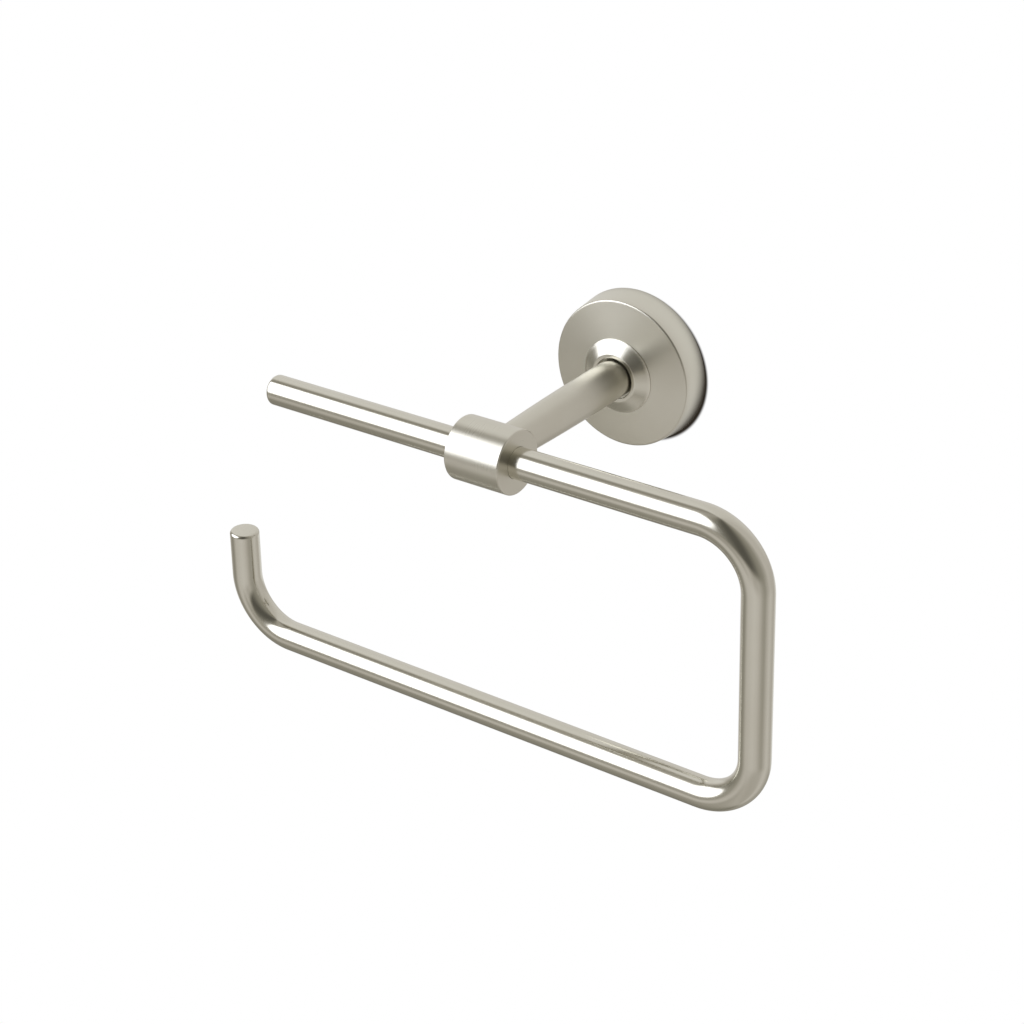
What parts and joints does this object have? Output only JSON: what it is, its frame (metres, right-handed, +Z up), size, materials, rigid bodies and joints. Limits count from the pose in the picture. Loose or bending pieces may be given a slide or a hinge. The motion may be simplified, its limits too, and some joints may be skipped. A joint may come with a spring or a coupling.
{
  "type": "toilet paper holder",
  "caption": "Wall-mounted toilet paper holder: a round rosette and post carry a hub, in which a bent open bar swings to hold the roll.",
  "frame": {"origin": "middle of the wall bracket's back face, on the wall", "axes": "+Y into the wall, so the holder stands out along -Y; +X along the bar, towards the ring's closed end; +Z up"},
  "size_m": [0.2014, 0.0857, 0.1182],
  "materials": {
    "gasket_rubber": "matt",
    "bracket_steel": "zinc plated, satin",
    "screw_steel": "zinc plated",
    "sleeve_nylon": "moulded, matt",
    "satin_nickel_rosette": "satin nickel, turned grain",
    "satin_nickel_collar": "satin nickel, turned grain",
    "satin_nickel_post": "satin nickel",
    "satin_nickel_hub": "satin nickel",
    "satin_nickel_bar": "satin nickel"
  },
  "bodies": {
    "mount": {"wall_gasket": "gasket_rubber", "wall_bracket": "bracket_steel", "rosette_cover": "satin_nickel_rosette", "collar_ring": "satin_nickel_collar", "cover_set_screw": "screw_steel", "post": "satin_nickel_post", "post_dowel": "screw_steel", "post_washer": "screw_steel", "post_spring_washer": "screw_steel", "post_screw": "screw_steel", "hub": "satin_nickel_hub", "hub_stud": "screw_steel", "hub_sleeve": "sleeve_nylon", "hub_stop_screw": "screw_steel"},
    "swing_bar": {"bar": "satin_nickel_bar"}
  },
  "joints": [
    {"name": "bar_swing", "type": "hinge", "parent": "mount", "child": "swing_bar", "pos_m": [0, -0.076, 0], "axis": [-1, 0, 0], "range_deg": [-45, 90]}
  ]
}
